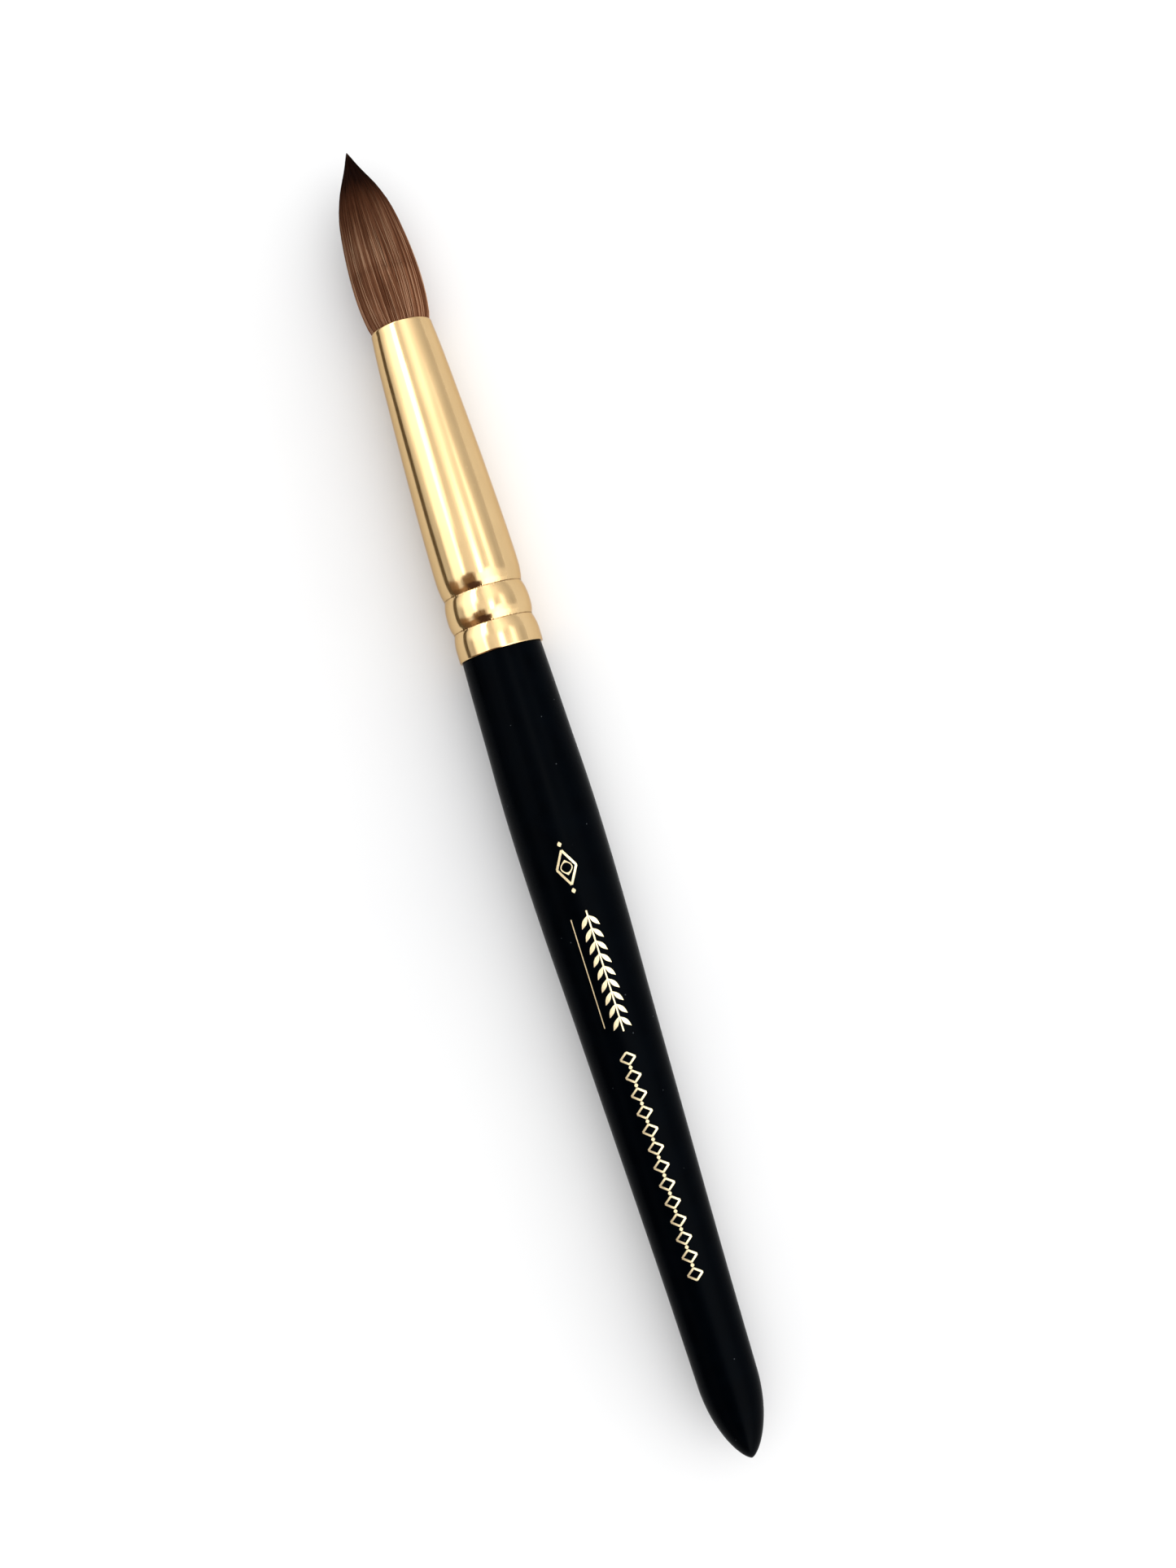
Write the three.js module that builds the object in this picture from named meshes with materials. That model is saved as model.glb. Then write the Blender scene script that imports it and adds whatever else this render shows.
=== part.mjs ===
// Round acrylic nail brush: lacquered wooden handle, crimped gold ferrule, hair tuft.
// The brush lies on its side with its axis along X and the hair tip at +X.
// Lengths are in millimetres. A station is a distance along the axis measured back from the hair tip.
import * as THREE from 'three';

// Driving dimensions
const LENGTH = 180;
const MOUTH = 24.8;
const FERRULE_LENGTH = 45.2;
const BELLY_RADIUS = 6;
const WALL = 0.35;
const GAP = 0.3;
const SIDES = 24;

// Derived stations and radii
const FERRULE_BACK = MOUTH + FERRULE_LENGTH;
const BELLY_FRONT = 91;
const BELLY_BACK = 97;
const TAIL_ROUND = 168.8;
const TENON_FRONT = 50;
const TENON_RADIUS = 4.55;
const ROOT_BACK = 40;
const PLUG_LENGTH = 4.6;

// Bending of the tuft is carried by two pivots, each with a ball-shaped joint face
const HEEL_PIVOT = MOUTH - 3.6;
const FRONT_PIVOT = MOUTH - 10.8;
const HEEL_BALL = 4.65;
const FRONT_BALL = 4.6;

// [station, radius] of the tuft from its needle tip to the ferrule mouth
const TUFT = [
  [0, 0], [0.6, 0.3], [1.9, 0.84], [3.3, 1.52], [4.6, 2.2], [5.9, 2.77], [7.9, 3.45],
  [9.8, 3.87], [11.9, 4.17], [14.5, 4.46], [17.1, 4.62], [20, 4.62], [22.4, 4.42], [23.9, 4.21],
];

// [station, radius] of the ferrule's outside, with two rolled crimps near the handle
const FERRULE = [
  [MOUTH, 4.13], [26.6, 4.3], [29.6, 4.53], [34.1, 4.76], [39.4, 5.02], [44.5, 5.25],
  [49.8, 5.44], [54.9, 5.57], [58.6, 5.67], [60.3, 5.62], [61.1, 5.44], [61.5, 5.29],
  [61.9, 5.42], [62.9, 5.62], [64.2, 5.7], [65.2, 5.61], [65.8, 5.47], [66.1, 5.33],
  [66.5, 5.49], [68, 5.71], [FERRULE_BACK, 5.69],
];

// [station, radius] of the handle's visible outside, from the ferrule to the rounded tail
const HANDLE = [
  [FERRULE_BACK + GAP, 5.41], [76.4, 5.58], [82.1, 5.75], [87.1, 5.92],
  [BELLY_FRONT, BELLY_RADIUS], [BELLY_BACK, BELLY_RADIUS], [102.1, 5.92], [108.5, 5.76],
  [113.7, 5.57], [118.7, 5.4], [124.5, 5.24], [134.7, 4.93], [145.4, 4.61], [155.5, 4.34],
  [163.4, 4.17], [TAIL_ROUND, 4.07],
];

function finish(name, color, roughness, metalness) {
  return new THREE.MeshStandardMaterial({ name, color, roughness, metalness });
}

const slots = {
  handle_lacquer: finish('handle_lacquer', 0x08090c, 0.5, 0),
  ferrule_gold: finish('ferrule_gold', 0xe0be85, 0.15, 1),
  hair: finish('hair', 0x7d5038, 0.55, 0),
  binding_thread: finish('binding_thread', 0xd8d2c4, 0.8, 0),
  cement: finish('cement', 0xb08a4e, 0.3, 0),
};

const brush = new THREE.Group();
brush.name = 'acrylic_nail_brush';

// Radius of an outline at a station, by straight lines between its points.
function radiusAt(outline, station) {
  const after = outline.findIndex(([s]) => s >= station);
  if (after <= 0) {
    return outline[0][1];
  }
  const [s0, r0] = outline[after - 1];
  const [s1, r1] = outline[after];
  return r0 + ((r1 - r0) * (station - s0)) / (s1 - s0);
}

// Turns an outline of [station, radius] into a solid of SIDES flats. The flats lie on the true
// radius and one of them faces straight down.
function turned(name, slot, outline) {
  const half = Math.PI / SIDES;
  const points = outline.map(([s, r]) => new THREE.Vector2(r / Math.cos(half), LENGTH / 2 - s));
  points.reverse();
  const geometry = new THREE.LatheGeometry(points, SIDES, half);
  geometry.rotateZ(-Math.PI / 2);
  geometry.translate(0, 0, BELLY_RADIUS);
  const mesh = new THREE.Mesh(geometry, slots[slot]);
  mesh.name = name;
  brush.add(mesh);
}

// Points of a ball face centred on a pivot, from an outline point on the tuft's skin to the axis.
function ballFace(pivot, ball, rimAngle, steps) {
  const face = [];
  for (let i = 0; i <= steps; i += 1) {
    const angle = rimAngle * (1 - i / steps);
    face.push([pivot - ball * Math.cos(angle), ball * Math.sin(angle)]);
  }
  face[steps][1] = 0;
  return face;
}

// Angle from the axis at which a ball about a pivot meets the tuft's skin.
function meetingAngle(pivot, ball) {
  let low = 0;
  let high = Math.PI / 2;
  for (let i = 0; i < 40; i += 1) {
    const angle = (low + high) / 2;
    const outside = ball * Math.sin(angle) > radiusAt(TUFT, pivot - ball * Math.cos(angle));
    if (outside) {
      high = angle;
    } else {
      low = angle;
    }
  }
  return low;
}

function skinBetween(front, back) {
  const margin = 0.25;
  return TUFT.filter(([s]) => s > front + margin && s < back - margin);
}

function buildHandle() {
  const tenon = [
    [TENON_FRONT, 0],
    [TENON_FRONT, TENON_RADIUS - 1],
    [TENON_FRONT + 1, TENON_RADIUS],
    [FERRULE_BACK + GAP, TENON_RADIUS],
  ];
  const tailSteps = 7;
  const tailRadius = HANDLE[HANDLE.length - 1][1];
  const tailLength = LENGTH - TAIL_ROUND;
  const tail = [];
  for (let i = 1; i <= tailSteps; i += 1) {
    const angle = (i / tailSteps) * (Math.PI / 2);
    tail.push([TAIL_ROUND + tailLength * Math.sin(angle), tailRadius * Math.cos(angle) ** 1.4]);
  }
  tail[tailSteps - 1][1] = 0;
  turned('handle', 'handle_lacquer', [...tenon, ...HANDLE, ...tail]);
}

function buildFerrule() {
  const bore = FERRULE.map(([s, r]) => [s, r - WALL]).reverse();
  turned('ferrule', 'ferrule_gold', [...FERRULE, ...bore, FERRULE[0]]);
}

// Hair held in the ferrule, tied near its butt end. It swells out over the ferrule's rim.
function buildHairRoot() {
  const rimAngle = Math.PI / 2 - 0.12;
  const ball = ballFace(HEEL_PIVOT, HEEL_BALL, rimAngle, 6).reverse();
  const skin = [
    [HEEL_PIVOT + 0.8, radiusAt(TUFT, HEEL_PIVOT + 0.8)],
    [MOUTH - 1, radiusAt(TUFT, MOUTH - 1)],
    [MOUTH - GAP, FERRULE[0][1] - WALL - GAP],
    [MOUTH + 4, 3.6],
    [ROOT_BACK, 3.7],
    [ROOT_BACK, 0],
  ];
  turned('hair_root', 'hair', [...ball, ...skin]);
}

function buildTuftHeel() {
  const front = ballFace(FRONT_PIVOT, FRONT_BALL, meetingAngle(FRONT_PIVOT, FRONT_BALL), 6).reverse();
  const cup = HEEL_BALL + GAP;
  const back = ballFace(HEEL_PIVOT, cup, meetingAngle(HEEL_PIVOT, cup), 6);
  const skin = skinBetween(front[front.length - 1][0], back[0][0]);
  turned('tuft_heel', 'hair', [...front, ...skin, ...back]);
}

function buildTuftFront() {
  const cup = FRONT_BALL + GAP;
  const back = ballFace(FRONT_PIVOT, cup, meetingAngle(FRONT_PIVOT, cup), 6);
  const skin = [TUFT[0], ...skinBetween(0, back[0][0])];
  turned('tuft_front', 'hair', [...skin, ...back]);
}

// Thread wound side by side round the hair near its butt end, as a ring with one ridge per turn.
function buildBinding(name, station, turns) {
  const threadRadius = 0.22;
  const inside = 3.7 + GAP / 2;
  const arcSteps = 4;
  const ridges = [];
  for (let turn = 0; turn < turns; turn += 1) {
    const centre = station + threadRadius * (2 * turn + 1);
    for (let i = turn === 0 ? 0 : 1; i <= arcSteps; i += 1) {
      const angle = Math.PI * (1 - i / arcSteps);
      const lift = threadRadius * Math.sin(angle);
      ridges.push([centre + threadRadius * Math.cos(angle), inside + threadRadius + lift]);
    }
  }
  const back = station + 2 * threadRadius * turns;
  turned(name, 'binding_thread', [[station, inside], ...ridges, [back, inside], [station, inside]]);
}

// Cement poured in behind the hair's butt end.
function buildRootPlug() {
  const front = ROOT_BACK + GAP;
  const back = front + PLUG_LENGTH;
  const outline = [
    [front, 0],
    [front, radiusAt(FERRULE, front) - WALL - GAP],
    [back, radiusAt(FERRULE, back) - WALL - GAP],
    [back, 1.5],
    [back - 0.6, 0],
  ];
  turned('root_cement', 'cement', outline);
}

// Film of cement between the handle's tenon and the ferrule.
function buildTenonCement() {
  const front = TENON_FRONT + 2;
  const back = front + 6.5;
  const inside = TENON_RADIUS + 0.12;
  const frontRadius = radiusAt(FERRULE, front) - WALL - 0.12;
  const backRadius = radiusAt(FERRULE, back) - WALL - 0.12;
  const outline = [[front, inside], [front, frontRadius], [back, backRadius], [back, inside]];
  turned('tenon_cement', 'cement', [...outline, outline[0]]);
}

buildHandle();
buildFerrule();
buildHairRoot();
buildTuftHeel();
buildTuftFront();
buildBinding('binding_front', 32.5, 4);
buildBinding('binding_back', 36.6, 4);
buildRootPlug();
buildTenonCement();

export default brush;
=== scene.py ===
"""Round acrylic nail brush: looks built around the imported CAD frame.

The brush's axis runs along X with the hair tip at +X. A station is a distance back from the hair
tip, in millimetres. The brush is worked out in millimetres and turned into metres by to_metres().
The floor, the dark board and the camera are placed in metres.
"""

import math
import random

import bpy
from mathutils import Matrix, Vector, noise


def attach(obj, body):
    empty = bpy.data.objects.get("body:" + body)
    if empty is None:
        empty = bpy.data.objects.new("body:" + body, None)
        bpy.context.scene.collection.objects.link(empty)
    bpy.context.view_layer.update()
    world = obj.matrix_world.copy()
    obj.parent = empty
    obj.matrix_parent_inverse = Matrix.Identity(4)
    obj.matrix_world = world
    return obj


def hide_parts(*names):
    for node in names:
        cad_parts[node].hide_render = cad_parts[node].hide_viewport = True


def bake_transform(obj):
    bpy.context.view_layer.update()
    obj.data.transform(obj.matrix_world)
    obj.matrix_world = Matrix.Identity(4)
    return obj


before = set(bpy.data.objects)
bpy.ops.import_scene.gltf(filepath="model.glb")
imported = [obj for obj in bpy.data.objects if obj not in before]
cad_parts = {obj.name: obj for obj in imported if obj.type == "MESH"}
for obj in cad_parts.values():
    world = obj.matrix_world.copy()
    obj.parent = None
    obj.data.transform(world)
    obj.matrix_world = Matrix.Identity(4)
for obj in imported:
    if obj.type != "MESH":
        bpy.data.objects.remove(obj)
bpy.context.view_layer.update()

# The brush's driving sizes. The mouth, the ferrule's back and the crimps are stations.
MM = 0.001
LENGTH = 180.0
AXIS_HEIGHT = 6.0
MOUTH = 24.8
FERRULE_BACK = 70.0
FRONT_CRIMP = 61.6
BACK_CRIMP = 66.2
WALL = 0.35

# The station where the handle's rounded tail starts. The tail is an ellipse at sharpness 1 and more
# pointed above it.
TAIL_ROUND = 168.8
TAIL_SHARPNESS = 1.4
TAIL_STEPS = 28

# The hair is cut into two lengths this far behind the mouth.
BEND_ZONE = 7.2
SPLIT = MOUTH - BEND_ZONE

# Distances between an outline's points once it is smoothed, and sides round the axis
HANDLE_STEP = 0.8
BODY_STEP = 0.6
CRIMP_STEP = 0.11
TUFT_STEP = 0.25
HANDLE_SIDES = 160
FERRULE_SIDES = 432
CORE_SIDES = 180

# [station, radius] of the free hair, from its needle tip to where it leaves the ferrule
TUFT = [
    (0.0, 0.0), (0.6, 0.3), (1.9, 0.84), (3.3, 1.52), (4.6, 2.2), (5.9, 2.77), (7.9, 3.45),
    (9.8, 3.87), (11.9, 4.17), (14.5, 4.46), (17.1, 4.62), (20.0, 4.62), (22.4, 4.42),
    (23.9, 4.2), (24.6, 4.08), (25.2, 3.78), (26.5, 3.7), (29.0, 3.7),
]
HAIR_BACK = 28.6

# [station, radius] of the ferrule's outside, in smooth stretches that meet at sharp crimps
FERRULE_BODY = [
    (24.98, 4.14), (25.15, 4.16), (25.4, 4.17), (26.6, 4.29), (29.6, 4.52), (34.1, 4.76),
    (39.4, 5.02), (44.5, 5.25), (49.8, 5.45), (54.9, 5.6), (58.2, 5.665),
]
FERRULE_SHOULDER = [
    (58.2, 5.665), (59.5, 5.645), (60.6, 5.53), (61.2, 5.41), (FRONT_CRIMP, 5.27),
]
FERRULE_BEAD = [
    (FRONT_CRIMP, 5.27), (62.1, 5.45), (62.9, 5.61), (64.0, 5.69), (64.9, 5.66), (65.6, 5.55),
    (BACK_CRIMP, 5.33),
]
FERRULE_BAND = [(BACK_CRIMP, 5.33), (66.7, 5.5), (67.4, 5.64), (68.3, 5.71), (69.85, 5.7)]

# [station, radius] of the ferrule's rolled front rim, from its bore outwards, and of its thin back
# edge, from its outside inwards
FRONT_RIM = [(24.92, 3.8), (24.83, 3.86), (MOUTH, 3.94), (24.82, 4.02), (24.88, 4.09)]
BACK_EDGE = [
    (FERRULE_BACK - 0.02, 5.69), (FERRULE_BACK, 5.66), (FERRULE_BACK, 5.42),
    (FERRULE_BACK - 0.03, 5.37),
]

# The crimping wheel's nicks: how far they reach along the ferrule, how closely they follow one
# another round it and along it, and how deep they go at each crimp
NICK_REACH = 0.16
NICKS_ROUND = 34
NICKS_ALONG = 4
NICK_DEPTHS = ((FRONT_CRIMP, 0.045), (BACK_CRIMP, 0.04))

# The ferrule's slight lack of roundness: its size, and how closely the swells follow one another
SWELL = 0.012
SWELLS_ROUND = 1.7
SWELLS_ALONG = 0.12

# [station, radius] of the handle, from inside the ferrule to the start of its rounded tail
HANDLE = [
    (69.0, 5.3), (69.7, 5.34), (70.4, 5.41), (76.4, 5.6), (82.1, 5.75), (87.1, 5.91), (91.0, 5.99),
    (94.0, 6.0), (97.0, 5.99), (102.1, 5.91), (108.5, 5.75), (113.7, 5.57), (118.7, 5.4),
    (124.5, 5.23), (134.7, 4.93), (145.4, 4.61), (155.5, 4.34), (163.4, 4.17), (TAIL_ROUND, 4.07),
]

# The tuft's layers from the outside in: hairs, share of the tuft's radius, how much darker as
# painted shade
HAIR_LAYERS = ((420, 1.0, 0.0), (420, 0.975, 0.05), (320, 0.945, 0.16))
STRAY_HAIRS = 60
STRAY_SHARE = 1.006
STRAY_THICKNESS = 0.036
CORE_SHARE = 0.915
HAIR_STEP = 1.25

# Hairs are thickest halfway along this last stretch of the tuft. Over their last few millimetres
# they taper to this share of their width.
BELLY_STRETCH = 20
TAPER_LENGTH = 5.0
TIP_WIDTH = 0.08

# Hairs sway at this pace along their length. Stray hairs cross their own line at this station.
SWAY_PACE = 0.35
DRIFT_CROSSING = 12

# Grooves in the tuft's core: how closely they follow one another, and their depth as a share of
# the radius. The core starts just behind the tuft's tip, and its first ring stands a little back.
FLUTES_ROUND = 9
FLUTE_DEPTH = 0.03
CORE_TIP = 0.03
CORE_TIP_RING = 0.1

# Streaks round the tuft: how closely they follow one another, where in the noise they are taken
# from, and how strong they are
STREAKS = ((3.2, 0, 0.22), (11, 7, 0.32), (25, 3, 0.36))
MIDDLE_TONE = 0.38

random.seed(18)


def smooth(points, step):
    """Points every step or so along a smooth curve through the given ones."""
    dense = []
    last = len(points) - 1
    for i in range(last):
        p0 = points[max(i - 1, 0)]
        p1 = points[i]
        p2 = points[i + 1]
        p3 = points[min(i + 2, last)]
        span = p2[0] - p1[0]
        slope1 = (p2[1] - p0[1]) / (p2[0] - p0[0])
        slope2 = (p3[1] - p1[1]) / (p3[0] - p1[0])
        count = max(2, math.ceil(span / step))
        for k in range(count):
            t = k / count
            h1 = 2 * t**3 - 3 * t**2 + 1
            h2 = t**3 - 2 * t**2 + t
            h3 = 3 * t**2 - 2 * t**3
            h4 = t**3 - t**2
            radius = h1 * p1[1] + h2 * span * slope1 + h3 * p2[1] + h4 * span * slope2
            dense.append((p1[0] + span * t, radius))
    dense.append(points[-1])
    return dense


def radius_at(outline, station):
    """Radius of a dense outline at a station."""
    if station <= outline[0][0]:
        return outline[0][1]
    for (s0, r0), (s1, r1) in zip(outline, outline[1:]):
        if station <= s1:
            return r0 + (r1 - r0) * (station - s0) / (s1 - s0)
    return outline[-1][1]


TUFT_DENSE = smooth(TUFT, TUFT_STEP)
HANDLE_DENSE = smooth(HANDLE, HANDLE_STEP)


def to_metres(station, across, up):
    """Row-frame point in metres. across and up are measured from the brush's axis."""
    return ((LENGTH / 2 - station) * MM, across * MM, (AXIS_HEIGHT + up) * MM)


def to_row(station, radius, angle):
    """Row-frame point in metres. The angle is measured from straight up, towards +Y."""
    return to_metres(station, radius * math.sin(angle), radius * math.cos(angle))


def make_piece(name, vertices, faces, material, body, flat=()):
    """A mesh piece that rides on a body, if one is given. Faces are shaded smooth, but for the ones
    numbered in flat."""
    mesh = bpy.data.meshes.new(name)
    mesh.from_pydata(vertices, [], faces)
    flat = set(flat)
    mesh.polygons.foreach_set("use_smooth", [i not in flat for i in range(len(faces))])
    mesh.materials.append(material)
    piece = bpy.data.objects.new(name, mesh)
    bpy.context.scene.collection.objects.link(piece)
    if body:
        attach(piece, body)
    return piece


def turned(outline, segments, shape=None):
    """Vertices and faces of a solid turned about the brush's axis. An outline starts and ends on
    the axis or closes on itself. shape(station, radius, angle) may change the radius."""
    vertices = []
    faces = []
    rings = []
    closed = outline[0] == outline[-1]
    stops = outline[:-1] if closed else outline
    for station, radius in stops:
        if radius == 0:
            rings.append([len(vertices)])
            vertices.append(to_row(station, 0, 0))
            continue
        ring = []
        for k in range(segments):
            angle = 2 * math.pi * k / segments
            here = shape(station, radius, angle) if shape else radius
            ring.append(len(vertices))
            vertices.append(to_row(station, here, angle))
        rings.append(ring)
    pairs = list(zip(rings, rings[1:]))
    if closed:
        pairs.append((rings[-1], rings[0]))
    for front, back in pairs:
        for k in range(segments):
            after = (k + 1) % segments
            if len(front) == 1:
                faces.append((front[0], back[after], back[k]))
            elif len(back) == 1:
                faces.append((front[k], front[after], back[0]))
            else:
                faces.append((front[k], front[after], back[after], back[k]))
    return vertices, faces


# ---------------------------------------------------------------- materials


class NodeTree:
    """Short names for building a tree of nodes."""

    def __init__(self, tree):
        self.tree = tree

    def add(self, kind, **values):
        """A node. Each value goes to the input of its name, or else to the setting."""
        node = self.tree.nodes.new(kind)
        for key, value in values.items():
            if key in node.inputs:
                node.inputs[key].default_value = value
            else:
                setattr(node, key, value)
        return node

    def link(self, a, b):
        self.tree.links.new(a, b)

    def feed(self, socket, value):
        """Link another node's output to a socket, or set the socket to a constant."""
        if hasattr(value, "is_linked"):
            self.link(value, socket)
        elif isinstance(value, tuple):
            socket.default_value = (*value, 1)
        else:
            socket.default_value = value

    def maths(self, operation, *values):
        node = self.add("ShaderNodeMath", operation=operation)
        for socket, value in zip(node.inputs, values):
            self.feed(socket, value)
        return node.outputs[0]

    def mix(self, factor, a, b, blend_type="MIX"):
        node = self.add("ShaderNodeMix", data_type="RGBA", blend_type=blend_type)
        for socket, value in zip((node.inputs[0], node.inputs[6], node.inputs[7]), (factor, a, b)):
            self.feed(socket, value)
        return node.outputs[2]

    def ramp(self, source, stops):
        """A colour ramp on source. stops are (position, colour) pairs."""
        node = self.add("ShaderNodeValToRGB")
        band = node.color_ramp
        while len(band.elements) < len(stops):
            band.elements.new(0.5)
        for element, (position, colour) in zip(band.elements, stops):
            element.position = position
            element.color = (*colour, 1)
        self.link(source, node.inputs["Fac"])
        return node.outputs["Color"]

    def grey_ramp(self, source, stops):
        """A ramp of plain levels on source. stops are (position, level) pairs."""
        return self.ramp(source, [(position, (level,) * 3) for position, level in stops])


class Nodes(NodeTree):
    """Short names for building a material."""

    def __init__(self, name):
        self.material = bpy.data.materials.new(name)
        self.material.use_nodes = True
        super().__init__(self.material.node_tree)
        self.shader = self.tree.nodes["Principled BSDF"]

    def place(self, scale=(1, 1, 1)):
        """Object coordinates in millimetres, stretched by scale."""
        where = self.add("ShaderNodeTexCoord")
        mapping = self.add("ShaderNodeMapping")
        mapping.inputs["Scale"].default_value = [k / MM for k in scale]
        self.link(where.outputs["Object"], mapping.inputs["Vector"])
        return mapping.outputs["Vector"]

    def station(self):
        """The station of the point that is shaded."""
        split = self.add("ShaderNodeSeparateXYZ")
        self.link(self.place(), split.inputs["Vector"])
        return self.maths("SUBTRACT", LENGTH / 2, split.outputs["X"])

    def noise(self, vector, scale, detail=3.0, roughness=0.5):
        node = self.add("ShaderNodeTexNoise", Scale=scale, Detail=detail, Roughness=roughness)
        self.link(vector, node.inputs["Vector"])
        return node.outputs["Fac"]

    def spots(self, scale, size):
        """1 inside small scattered spots, 0 elsewhere."""
        cells = self.add("ShaderNodeTexVoronoi", Scale=scale, feature="F1")
        self.link(self.place(), cells.inputs["Vector"])
        return self.maths("LESS_THAN", cells.outputs["Distance"], size)

    def bump(self, height, distance):
        node = self.add("ShaderNodeBump", Distance=distance, Strength=1.0)
        self.link(height, node.inputs["Height"])
        self.link(node.outputs["Normal"], self.shader.inputs["Normal"])

    def set(self, **values):
        """Values for the shader's own inputs."""
        for key, value in values.items():
            self.feed(self.shader.inputs[key.replace("_", " ")], value)


def gold_metal():
    """Polished gold with lengthwise grain and a few pits. The crimps' grooves are darkened with
    painted shade.
    """
    n = Nodes("ferrule_gold")
    long_grain = n.noise(n.place((0.05, 2.4, 2.4)), scale=1.0, detail=2.0)
    scratches = n.noise(n.place((0.3, 14.0, 14.0)), scale=1.0, detail=2.0)
    cloudy = n.noise(n.place((0.15, 0.4, 0.4)), scale=1.0, detail=2.0)
    colour = n.ramp(cloudy, [(0.3, (0.63, 0.44, 0.222)), (0.7, (0.68, 0.48, 0.246))])
    rough = n.grey_ramp(scratches, [(0.3, 0.08), (0.75, 0.2)])
    station = n.station()
    # painted shade: the colour is darkened along each crimp's groove, with uneven edges
    to_front = n.maths("ABSOLUTE", n.maths("SUBTRACT", station, FRONT_CRIMP))
    to_back = n.maths("ABSOLUTE", n.maths("SUBTRACT", station, BACK_CRIMP))
    unevenness = 0.16
    uneven = n.maths("MULTIPLY", n.noise(n.place(), scale=1.6), unevenness)
    groove = n.maths("ADD", n.maths("MINIMUM", to_front, to_back), uneven)
    groove_shade = n.ramp(groove, [(0.08, (0.34, 0.26, 0.20)), (0.19, (1, 1, 1))])
    groove_shaded = n.mix(1.0, colour, groove_shade, "MULTIPLY")
    n.set(
        Base_Color=groove_shaded,
        Metallic=1.0,
        Roughness=rough,
        Specular_Tint=(0.80, 0.70, 0.58),
    )
    pit = n.spots(scale=0.55, size=0.06)
    scratch_share = 0.06
    grain_height = 0.28
    grain = n.maths("ADD", long_grain, n.maths("MULTIPLY", scratches, scratch_share))
    height = n.maths("SUBTRACT", n.maths("MULTIPLY", grain, grain_height), pit)
    n.bump(height, 0.012 * MM)
    return n.material


def lacquer():
    """Matt black lacquer, a little uneven, with a few paler specks."""
    n = Nodes("handle_lacquer")
    where = n.place()
    soft = n.noise(where, scale=0.35)
    fine = n.noise(where, scale=9.0)
    speck = n.spots(scale=0.42, size=0.035)
    tone = n.ramp(soft, [(0.3, (0.0001, 0.0005, 0.0011)), (0.8, (0.0003, 0.0010, 0.0020))])
    colour = n.mix(speck, tone, (0.04, 0.045, 0.05))
    rough = n.grey_ramp(soft, [(0.25, 0.22), (0.75, 0.32)])
    n.set(Base_Color=colour, Roughness=rough, Specular_IOR_Level=0.012)
    n.bump(fine, 0.006 * MM)
    return n.material


def foil():
    """Stamped gold foil, worn in places."""
    n = Nodes("gold_foil")
    worn = n.noise(n.place(), scale=5.0, detail=4.0, roughness=0.7)
    colour = n.ramp(worn, [(0.25, (0.50, 0.42, 0.25)), (0.6, (0.86, 0.74, 0.48))])
    rough = n.grey_ramp(worn, [(0.3, 0.5), (0.7, 0.3)])
    n.set(Base_Color=colour, Metallic=0.9, Roughness=rough)
    return n.material


def hair_fibre():
    """Each hair carries its own tone, from 0 to 1. Tones run from dark red-brown to pale tan. The
    tuft darkens towards its tip, whose last few millimetres are almost black."""
    n = Nodes("hair_fibre")
    tone = n.add("ShaderNodeAttribute", attribute_name="tone")
    streak = n.noise(n.place((0.22, 4.0, 4.0)), scale=1.0, detail=4.0, roughness=0.65)
    streak_share = 0.4
    value = n.maths("ADD", tone.outputs["Fac"], n.maths("MULTIPLY", streak, streak_share))
    body = n.ramp(
        value,
        [
            (0.22, (0.075, 0.024, 0.010)),
            (0.50, (0.150, 0.058, 0.028)),
            (0.78, (0.265, 0.118, 0.062)),
            (1.00, (0.560, 0.330, 0.200)),
        ],
    )
    darkening = 20.0
    unevenness = 5.0
    uneven = n.maths("SUBTRACT", n.station(), n.maths("MULTIPLY", value, unevenness))
    light = n.ramp(
        n.maths("DIVIDE", uneven, darkening),
        [
            (0.08, (0.035, 0.02, 0.015)), (0.24, (0.34, 0.28, 0.25)), (0.48, (0.66,) * 3),
            (0.80, (1,) * 3),
        ],
    )
    colour = n.mix(1.0, body, light, "MULTIPLY")
    n.set(Base_Color=colour, Roughness=0.5, Specular_IOR_Level=0.015)
    return n.material


def hair_shade():
    """Painted shade: the hair seen between the outer ones, coloured near black."""
    n = Nodes("hair_shade")
    streak = n.noise(n.place((0.2, 6.0, 6.0)), scale=1.0, detail=4.0, roughness=0.6)
    # painted shade: a near-black brown for the hair deep inside the tuft
    colour = n.ramp(streak, [(0.3, (0.012, 0.004, 0.002)), (0.75, (0.050, 0.018, 0.009))])
    n.set(Base_Color=colour, Roughness=0.6, Specular_IOR_Level=0.05)
    n.bump(streak, 0.05 * MM)
    return n.material


def thread():
    """Pale twisted thread."""
    n = Nodes("binding_thread")
    twist = n.add("ShaderNodeTexWave", Scale=2.2, Distortion=1.0)
    n.link(n.place(), twist.inputs["Vector"])
    colour = n.ramp(twist.outputs["Fac"], [(0.2, (0.42, 0.38, 0.30)), (0.8, (0.66, 0.62, 0.52))])
    n.set(Base_Color=colour, Roughness=0.8)
    n.bump(twist.outputs["Fac"], 0.05 * MM)
    return n.material


def cement():
    """Amber cement, a little cloudy."""
    n = Nodes("cement")
    cloudy = n.noise(n.place(), scale=0.8)
    colour = n.ramp(cloudy, [(0.3, (0.36, 0.20, 0.07)), (0.7, (0.50, 0.32, 0.13))])
    n.set(Base_Color=colour, Roughness=0.3)
    n.bump(cloudy, 0.1 * MM)
    return n.material


def paper():
    """The plain pale surface under the brush."""
    n = Nodes("floor")
    soft = n.noise(n.place(), scale=0.02)
    colour = n.ramp(soft, [(0.3, (0.84, 0.84, 0.845)), (0.7, (0.87, 0.87, 0.87))])
    n.set(Base_Color=colour, Roughness=0.7, Specular_IOR_Level=0.2)
    return n.material


# ---------------------------------------------------------------- handle and ferrule


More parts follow.
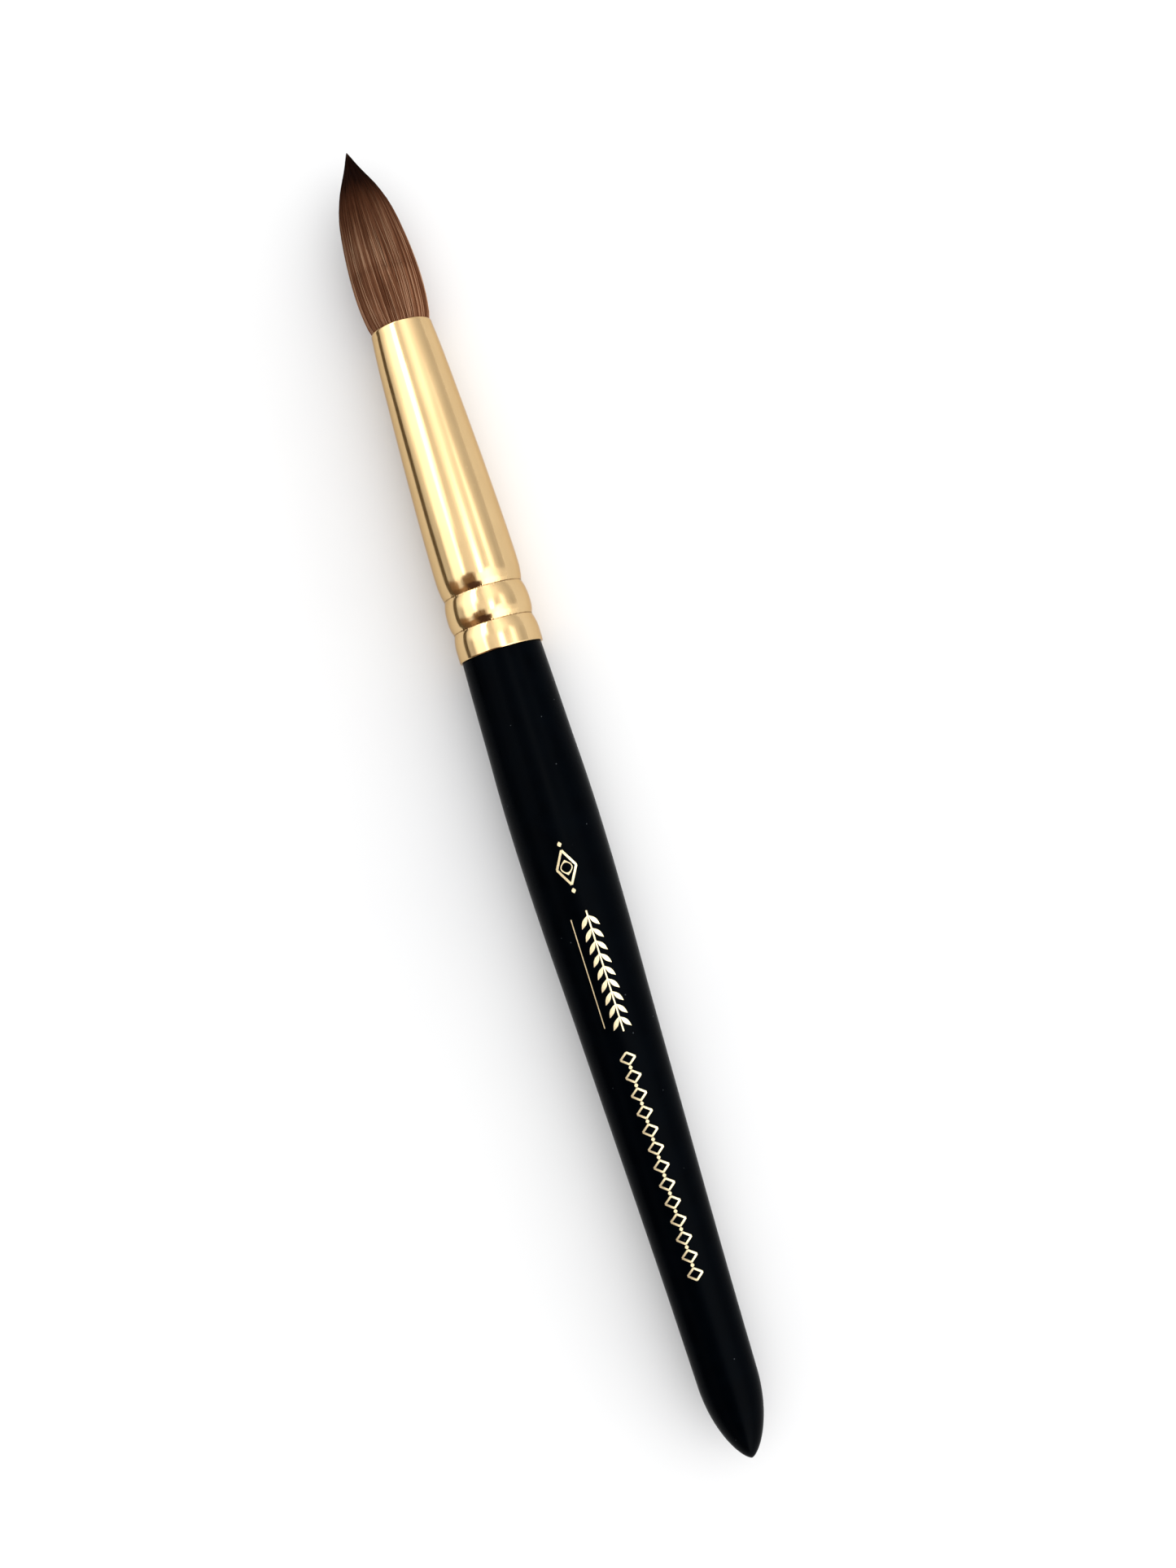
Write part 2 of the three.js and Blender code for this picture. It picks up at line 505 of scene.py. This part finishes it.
def build_handle(material):
    tail_radius = HANDLE[-1][1]
    tail = []
    for i in range(1, TAIL_STEPS):
        angle = i / TAIL_STEPS * math.pi / 2
        station = TAIL_ROUND + (LENGTH - TAIL_ROUND) * math.sin(angle)
        tail.append((station, tail_radius * math.cos(angle) ** TAIL_SHARPNESS))
    outline = [(HANDLE[0][0], 0.0)] + HANDLE_DENSE + tail + [(LENGTH, 0.0)]
    vertices, faces = turned(outline, HANDLE_SIDES)
    piece = make_piece("handle_body", vertices, faces, material, "brush")
    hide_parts("handle")


def tool_marks(station, radius, angle):
    """The ferrule is not quite round near its crimps, and the crimping wheel leaves small nicks."""
    unit = Vector((math.cos(angle), math.sin(angle), 0))
    swell = noise.noise(unit * SWELLS_ROUND + Vector((0, 0, station * SWELLS_ALONG)))
    result = radius + SWELL * swell
    for crimp, depth in NICK_DEPTHS:
        near = math.exp(-(((station - crimp) / NICK_REACH) ** 2))
        nick = noise.noise(unit * NICKS_ROUND + Vector((crimp, 0, station * NICKS_ALONG)))
        result += near * depth * nick
    return result


def build_ferrule(material):
    outside = smooth(FERRULE_BODY, BODY_STEP)
    inside = FERRULE_BODY[1:]
    for stretch in (FERRULE_SHOULDER, FERRULE_BEAD, FERRULE_BAND):
        outside += smooth(stretch, CRIMP_STEP)[1:]
        inside = inside + stretch[1:]
    bore = [(s, r - WALL) for s, r in reversed(inside[:-1])]
    outline = outside + BACK_EDGE + bore + FRONT_RIM + [outside[0]]
    vertices, faces = turned(outline, FERRULE_SIDES, tool_marks)
    piece = make_piece("ferrule_tube", vertices, faces, material, "brush")
    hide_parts("ferrule")


# ---------------------------------------------------------------- hair


class HairMesh:
    """Collects hairs as thin four-sided tapered tubes with a tone on every vertex. A hair's tone
    drifts a little along it, together with its neighbours', in soft patches."""

    SIDES = 4
    PATCH_STRENGTH = 0.26
    PATCHES_ROUND = 2.6
    PATCH_LENGTH = 6

    def __init__(self):
        self.vertices = []
        self.faces = []
        self.caps = []
        self.tones = []

    def add(self, path, tone):
        """path is a list of (station, distance from axis, angle, hair radius)."""
        first = len(self.vertices)
        for station, out, angle, thick in path:
            patch_y = self.PATCHES_ROUND * math.cos(angle)
            patch_z = self.PATCHES_ROUND * math.sin(angle)
            patch = noise.noise(Vector((patch_y, patch_z, station / self.PATCH_LENGTH)))
            centre_y = out * math.sin(angle)
            centre_z = out * math.cos(angle)
            for k in range(self.SIDES):
                turn = angle + 2 * math.pi * k / self.SIDES
                y = centre_y + thick * math.sin(turn)
                z = centre_z + thick * math.cos(turn)
                self.vertices.append(to_metres(station, y, z))
                self.tones.append(tone + self.PATCH_STRENGTH * patch)
        rings = len(path)
        for i in range(rings - 1):
            for k in range(self.SIDES):
                a = first + i * self.SIDES + k
                b = first + i * self.SIDES + (k + 1) % self.SIDES
                self.faces.append((a, a + self.SIDES, b + self.SIDES, b))
        last = first + (rings - 1) * self.SIDES
        self.caps += [len(self.faces), len(self.faces) + 1]
        self.faces.append(tuple(range(first, first + self.SIDES)))
        self.faces.append(tuple(range(last + self.SIDES - 1, last - 1, -1)))

    def make(self, name, material):
        piece = make_piece(name, self.vertices, self.faces, material, None, self.caps)
        tones = piece.data.attributes.new("tone", "FLOAT", "POINT")
        tones.data.foreach_set("value", self.tones)
        return piece


def hair_path(start, end, ends_free, out_share, angle, thick, sway, drift=0.0):
    """One hair between two stations, keeping its share of the tuft's radius. A drifting hair
    runs slantwise across the others."""
    steps = max(3, round((start - end) / HAIR_STEP))
    path = []
    for i in range(steps + 1):
        station = start + (end - start) * i / steps
        wave = sway * math.sin(station * SWAY_PACE + angle * 3)
        slant = drift * (station - DRIFT_CROSSING) / DRIFT_CROSSING
        radius = out_share * radius_at(TUFT_DENSE, station)
        belly = math.sin(math.pi * min(station, BELLY_STRETCH) / BELLY_STRETCH)
        width = thick * (0.75 + 0.25 * belly)
        if ends_free:
            width *= min(1.0, TIP_WIDTH + (station - end) / TAPER_LENGTH)
        path.append((station, max(radius - width, 0.0), angle + (wave + slant), width))
    return path


def clump_tone(angle):
    """Neighbouring hairs share a tone, so that the tuft shows broad, narrow and fine streaks."""
    unit = Vector((math.cos(angle), math.sin(angle), 0))
    tone = MIDDLE_TONE
    for pace, place, strength in STREAKS:
        tone += strength * noise.noise(unit * pace + Vector((0, 0, place)))
    return tone


def bend_between(piece):
    """Bake a piece's placement into its mesh."""
    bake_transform(piece)


def build_hair(material):
    """The tuft's outer layers and a few pale hairs that stray over them, in two lengths."""
    near = HairMesh()
    far = HairMesh()
    for count, share, darker in HAIR_LAYERS:
        for i in range(count):
            angle = 2 * math.pi * (i + random.uniform(-0.45, 0.45)) / count
            # deeper layers are darkened as painted shade
            tone = clump_tone(angle) + random.gauss(0, 0.12) - darker
            tone = min(max(tone, 0.0), 1.0)
            thick = random.uniform(0.04, 0.062)
            out = share * random.uniform(0.985, 1.0)
            sway = random.uniform(-0.02, 0.02)
            # half of the hairs end within about 2 mm of the tip, the rest up to 9 mm behind it
            end = 0.15 + 9.0 * random.random() ** 2.2
            near.add(hair_path(HAIR_BACK, SPLIT, False, out, angle, thick, sway), tone)
            far.add(hair_path(SPLIT, end, True, out, angle, thick, sway), tone)
    for _ in range(STRAY_HAIRS):
        angle = random.uniform(0, 2 * math.pi)
        sway = random.uniform(-0.035, 0.035)
        drift = random.gauss(0, 0.05)
        tone = random.uniform(0.65, 0.95)
        end = random.uniform(3.0, 12.0)
        shared = (STRAY_SHARE, angle, STRAY_THICKNESS, sway, drift)
        near.add(hair_path(HAIR_BACK, SPLIT, False, *shared), tone)
        far.add(hair_path(SPLIT, end, True, *shared), tone)
    parts = (
        (near.make("hair_near_ferrule", material), "brush", "tuft_heel", MOUTH),
        (far.make("hair_to_tip", material), "tuft_heel", "tuft_front", SPLIT),
    )
    replaced = (("hair_root", "tuft_heel"), ("tuft_front",))
    for (piece, before, after, station), nodes in zip(parts, replaced):
        bend_between(piece)
        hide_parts(*nodes)


def core_flutes(station, radius, angle):
    """Shallow grooves that run from the ferrule to the tip."""
    unit = Vector((math.cos(angle), math.sin(angle), 0))
    return radius * (1 + FLUTE_DEPTH * noise.noise(unit * FLUTES_ROUND))


def build_core(material):
    """The tuft's inside, dark with painted shade, in two lengths whose flat ends meet at the split.
    """
    dense = [(s, r * CORE_SHARE) for s, r in TUFT_DENSE]
    meeting = [(SPLIT, CORE_SHARE * radius_at(TUFT_DENSE, SPLIT))]
    behind = [p for p in dense if SPLIT < p[0] <= HAIR_BACK]
    ahead = [p for p in dense if CORE_TIP_RING < p[0] < SPLIT]
    near = [(SPLIT, 0.0)] + meeting + behind + [(HAIR_BACK, 0.0)]
    far = [(CORE_TIP, 0.0)] + ahead + meeting + [(SPLIT, 0.0)]
    parts = (
        ("hair_core_near_ferrule", near, "brush", "tuft_heel", MOUTH),
        ("hair_core_to_tip", far, "tuft_heel", "tuft_front", SPLIT),
    )
    for name, outline, before, after, station in parts:
        vertices, faces = turned(outline, CORE_SIDES, core_flutes)
        ends = list(range(CORE_SIDES)) + list(range(len(faces) - CORE_SIDES, len(faces)))
        piece = make_piece(name, vertices, faces, material, None, ends)
        bend_between(piece)


# ---------------------------------------------------------------- printed ornament


class Foil:
    """Thin gold shapes laid on the handle and turned a little about its axis. They stand LIFT above
    the lacquer and are SUNK into it. A point is (station, sideways distance)."""

    LIFT = 0.015
    SUNK = -0.03
    TURN = math.radians(-2.0)
    STEP = 0.5
    LEAF_STEPS = 8
    LEAF_POINT = 0.04

    def __init__(self):
        self.vertices = []
        self.faces = []

    def on_handle(self, station, side, lift):
        radius = radius_at(HANDLE_DENSE, station)
        return to_row(station, radius + lift, self.TURN + side / radius)

    def stroke(self, a, b, width, leaf=False):
        """A straight stroke. A leaf swells from pointed ends."""
        length = math.dist(a, b)
        steps = self.LEAF_STEPS if leaf else max(1, math.ceil(length / self.STEP))
        along = ((b[0] - a[0]) / length, (b[1] - a[1]) / length)
        first = len(self.vertices)
        for i in range(steps + 1):
            t = i / steps
            half = width / 2 * (max(math.sin(math.pi * t), self.LEAF_POINT) if leaf else 1)
            x = a[0] + (b[0] - a[0]) * t
            y = a[1] + (b[1] - a[1]) * t
            corners = ((-1, self.LIFT), (1, self.LIFT), (1, self.SUNK), (-1, self.SUNK))
            for sign, lift in corners:
                offset = sign * half
                place = self.on_handle(x - along[1] * offset, y + along[0] * offset, lift)
                self.vertices.append(place)
        for i in range(steps):
            for k in range(4):
                p = first + 4 * i + k
                q = first + 4 * i + (k + 1) % 4
                self.faces.append((p, q, q + 4, p + 4))
        last = first + 4 * steps
        self.faces.append((first + 3, first + 2, first + 1, first))
        self.faces.append((last, last + 1, last + 2, last + 3))

    def lozenge(self, middle, half_long, half_wide, width):
        station, side = middle
        corners = [
            (station - half_long, side), (station, side + half_wide),
            (station + half_long, side), (station, side - half_wide),
        ]
        for a, b in zip(corners, corners[1:] + corners[:1]):
            self.stroke(a, b, width)

    def bead(self, middle, size):
        """A short full leaf that reads as a bead."""
        station, side = middle
        self.stroke((station - size, side), (station + size, side), 1.6 * size, leaf=True)


def build_ornament(material):
    """Plain decorative bands in place of printing: a lozenge, an ear of leaves, a bead chain."""
    marks = Foil()
    middle = 99.6
    bead_gap = 3.1
    marks.lozenge((middle, 0), half_long=2.3, half_wide=1.3, width=0.3)
    marks.bead((middle, 0), size=1.0)
    marks.bead((middle - bead_gap, 0), size=0.35)
    marks.bead((middle + bead_gap, 0), size=0.35)
    build_ear(marks)
    build_chain(marks)
    everything = range(len(marks.faces))
    make_piece(
        "handle_ornament", marks.vertices, marks.faces, material, "brush",
        everything,
    )


def build_ear(marks):
    """Pairs of leaves along a stem, with a thin rule beside them."""
    stem_side = -0.75
    marks.stroke((105.6, stem_side), (121.8, stem_side), 0.2)
    first_leaf = 106.3
    leaf_pitch = 1.7
    leaf_long = 1.5
    for i in range(9):
        station = first_leaf + leaf_pitch * i
        for sign in (-1, 1):
            root = (station, stem_side + 0.1 * sign)
            point = (station + leaf_long, stem_side + 1.2 * sign)
            marks.stroke(root, point, 0.6, leaf=True)
    rule_side = 1.5
    marks.stroke((106.2, rule_side), (120.8, rule_side), 0.13)


def build_chain(marks):
    """Small lozenges with a bead between each two."""
    side = -0.2
    first_link = 125.3
    links = 13
    pitch = 2.41
    for i in range(links):
        station = first_link + pitch * i
        marks.lozenge((station, side), half_long=0.8, half_wide=1.0, width=0.26)
        if i < links - 1:
            marks.bead((station + pitch / 2, side), size=0.3)


# ---------------------------------------------------------------- floor, light and camera


def sheet(name, corners, material):
    """A flat four-cornered sheet. Its corners are in metres."""
    mesh = bpy.data.meshes.new(name)
    mesh.from_pydata(corners, [], [(0, 1, 2, 3)])
    mesh.materials.append(material)
    piece = bpy.data.objects.new(name, mesh)
    bpy.context.scene.collection.objects.link(piece)
    return piece


def build_floor(material):
    """A plain floor, just below the brush so that the two don't share a plane."""
    half = 1.5
    corners = [(-half, -half, 0), (half, -half, 0), (half, half, 0), (-half, half, 0)]
    floor = sheet("floor", corners, material)
    floor.location.z = -0.02 * MM


# What polished surfaces see of the room. Each view is for directions whose lean (the X part of
# their unit vector) lies in a range, and lists the light round the brush's axis as (degrees from
# straight up towards +Y, level). Between two ranges one view changes smoothly into the next.
# Looking towards the handle's tail, something brown hides the light on the +Y side.
ROOM = (
    (-1.0, -0.20, (
        (-90, 1.1), (-70, 1.4), (-50, 3.0), (-24, 3.6), (-13, 2.8), (-8, 0.4), (-2, 0.07),
        (28, 0.07), (36, 0.25), (42, 0.45), (52, 0.45), (62, 0.22), (75, 0.16), (90, 0.12),
    )),
    (-0.11, 0.02, (
        (-90, 1.0), (-70, 1.1), (-52, 2.0), (-30, 3.4), (-14, 2.6), (-3, 1.7), (6, 0.24),
        (36, 0.24), (42, 0.6), (46, 1.0), (52, 1.0), (59, 0.4), (74, 0.24), (90, 0.2),
    )),
    (0.09, 0.22, (
        (-90, 0.75), (-76, 0.62), (-60, 1.0), (-49, 2.8), (-42, 1.5), (-33, 1.05), (-24, 1.5),
        (-19, 5.0), (-12, 5.0), (-7, 1.3), (20, 1.05), (25, 1.6), (29, 4.5), (33, 2.2), (56, 1.9),
        (66, 0.6), (78, 0.75), (90, 0.6),
    )),
    (0.38, 1.0, (
        (-90, 0.80), (-78, 0.72), (-62, 0.90), (-47, 1.2), (-34, 1.6), (-22, 2.1), (-8, 1.7),
        (3, 1.05), (15, 1.1), (20, 5.0), (31, 5.0), (36, 2.3), (57, 2.1), (71, 1.3), (88, 0.7),
    )),
)
ROOM_PEAK = 5.0
ROOM_STRENGTH = 1.14

# Dim parts of the room are brown, and the dimmest are dark brown
BROWN_BELOW = 0.5
DARK_BROWN_BELOW = 0.15
BROWN = (1.0, 0.64, 0.40)
DARK_BROWN = (1.0, 0.45, 0.30)
WHITE = (1.0, 1.0, 1.0)

# (noise scale, amount) of the unevenness of edges round the axis and along it
TURN_WOBBLE = (7.0, 0.02)
LEAN_WOBBLE = (4.5, 0.12)

# The views change over along a row of arches: degrees to the first crown and between crowns
ARCH_CROWN = 20
ARCH_PITCH = 62
ARCH_DEPTH = 0.085

# Soft light on matt surfaces, from the +Y side and from the -Y side. It changes over between
# directions whose Y part is this far from zero.
LIGHT_FROM_LEFT = 0.58
LIGHT_FROM_RIGHT = 1.92
LIGHT_CHANGE = 0.7


def room_tint(level):
    """The colour of a part of the room, from its level."""
    if level < DARK_BROWN_BELOW:
        return DARK_BROWN
    if level < BROWN_BELOW:
        return BROWN
    return WHITE


class WorldNodes(NodeTree):
    """Short names for building the world."""

    def __init__(self, name):
        world = bpy.data.worlds.new(name)
        bpy.context.scene.world = world
        world.use_nodes = True
        world.node_tree.nodes.clear()
        super().__init__(world.node_tree)

    def span(self, source, low, high, to_low, to_high, easing="LINEAR"):
        node = self.add("ShaderNodeMapRange", interpolation_type=easing)
        limits = {"From Min": low, "From Max": high, "To Min": to_low, "To Max": to_high}
        for name, value in limits.items():
            node.inputs[name].default_value = value
        self.link(source, node.inputs["Value"])
        return node.outputs["Result"]

    def wobble(self, source, where, scale, amount):
        """source, made a little uneven, so that edges in the room aren't straight."""
        uneven = self.add("ShaderNodeTexNoise", Scale=scale)
        self.link(where, uneven.inputs["Vector"])
        centred = self.maths("SUBTRACT", uneven.outputs["Fac"], 0.5)
        return self.maths("MULTIPLY_ADD", centred, amount, source)

    def arches(self, turn, lean):
        """lean, made larger between the crowns of a row of arches round the brush's axis."""
        to_crown = -2 * math.pi * ARCH_CROWN / ARCH_PITCH
        wave = self.maths("MULTIPLY_ADD", turn, 360 / ARCH_PITCH, to_crown)
        crown = self.maths("COSINE", wave)
        lowered = self.maths("MULTIPLY_ADD", crown, -ARCH_DEPTH / 2, lean)
        return self.maths("ADD", lowered, ARCH_DEPTH / 2)

    def room(self, turn, levels):
        """The light round the brush's axis, as a share of the brightest."""
        stops = []
        for degrees, level in levels:
            colour = [level / ROOM_PEAK * part for part in room_tint(level)]
            stops.append((0.5 + degrees / 360, colour))
        return self.ramp(turn, stops)

    def background(self, colour, strength):
        node = self.add("ShaderNodeBackground")
        for socket, value in zip(node.inputs, (colour, strength)):
            self.feed(socket, value)
        return node.outputs[0]

    def choose(self, factor, a, b):
        node = self.add("ShaderNodeMixShader")
        for socket, source in zip(node.inputs, (factor, a, b)):
            self.link(source, socket)
        return node.outputs[0]


def build_world():
    """A plain room: polished surfaces reflect its windows and lamps as soft strips along the
    brush, matt ones take soft light that is stronger from one side, and the camera sees a plain
    pale backdrop."""
    n = WorldNodes("room")
    where = n.add("ShaderNodeTexCoord").outputs["Generated"]
    part = n.add("ShaderNodeSeparateXYZ")
    n.link(where, part.inputs[0])
    turn = n.maths("ARCTAN2", part.outputs["Y"], part.outputs["Z"])
    round_axis = n.wobble(n.span(turn, -math.pi, math.pi, 0, 1), where, *TURN_WOBBLE)
    lean = n.wobble(n.arches(turn, part.outputs["X"]), where, *LEAN_WOBBLE)
    colour = n.room(round_axis, ROOM[0][2])
    for (_, end, _), (start, _, levels) in zip(ROOM, ROOM[1:]):
        share = n.span(lean, end, start, 0, 1, "SMOOTHSTEP")
        colour = n.mix(share, colour, n.room(round_axis, levels))
    room = n.background(colour, ROOM_PEAK * ROOM_STRENGTH)
    across = part.outputs["Y"]
    side = n.span(across, -LIGHT_CHANGE, LIGHT_CHANGE, LIGHT_FROM_RIGHT, LIGHT_FROM_LEFT)
    soft = n.background(WHITE, side)
    backdrop = n.background(WHITE, 1.0)
    rays = n.add("ShaderNodeLightPath")
    light = n.choose(rays.outputs["Is Glossy Ray"], soft, room)
    seen = n.choose(rays.outputs["Is Camera Ray"], light, backdrop)
    output = n.add("ShaderNodeOutputWorld")
    n.link(seen, output.inputs["Surface"])


def build_dark_edge():
    """A dark board beside the brush, lower towards the tip. Only reflections show it, as the dark
    line along the ferrule's +Y side."""
    n = Nodes("dark_edge")
    n.set(Base_Color=(0.12, 0.098, 0.070), Roughness=1.0, Specular_IOR_Level=0.0)
    beside = 0.024
    tip_end = 0.110
    low, high = 0.0097, 0.0143
    low_at_tip, high_at_tip = 0.0, 0.0079
    corners = [
        (0, beside, low), (tip_end, beside, low_at_tip), (tip_end, beside, high_at_tip),
        (0, beside, high),
    ]
    board = sheet("dark_edge", corners, n.material)
    board.visible_camera = False
    board.visible_diffuse = False
    board.visible_shadow = False


def build_camera():
    """A view from nearly straight above, turned so that the brush's tip points up and left."""
    place = Vector((-0.0083, -0.0195, 0.2500))
    target = Vector((0.0, -0.0057, AXIS_HEIGHT * MM))
    camera = bpy.data.cameras.new("camera")
    camera.sensor_width = 36
    camera.lens = 42.7
    camera.clip_start = 0.005
    camera.clip_end = 10
    eye = bpy.data.objects.new("camera", camera)
    bpy.context.scene.collection.objects.link(eye)
    back = (place - target).normalized()
    heading = math.radians(-17.35)
    up = Vector((math.cos(heading), math.sin(heading), 0))
    right = up.cross(back).normalized()
    up = back.cross(right)
    turn = Matrix((right, up, back)).transposed()
    eye.matrix_world = Matrix.Translation(place) @ turn.to_4x4()
    bpy.context.scene.camera = eye


def dress_hidden_nodes():
    """The pieces inside the ferrule stay as the CAD has them, with their own materials."""
    windings = thread()
    glue = cement()
    finishes = (
        ("binding_front", windings), ("binding_back", windings),
        ("root_cement", glue), ("tenon_cement", glue),
    )
    for name, material in finishes:
        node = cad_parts[name]
        for slot in node.material_slots:
            slot.material = material


build_camera()
build_world()
build_floor(paper())
build_dark_edge()
build_handle(lacquer())
build_ferrule(gold_metal())
build_hair(hair_fibre())
build_core(hair_shade())
build_ornament(foil())
dress_hidden_nodes()

view = bpy.context.scene.view_settings
view.view_transform = "Standard"
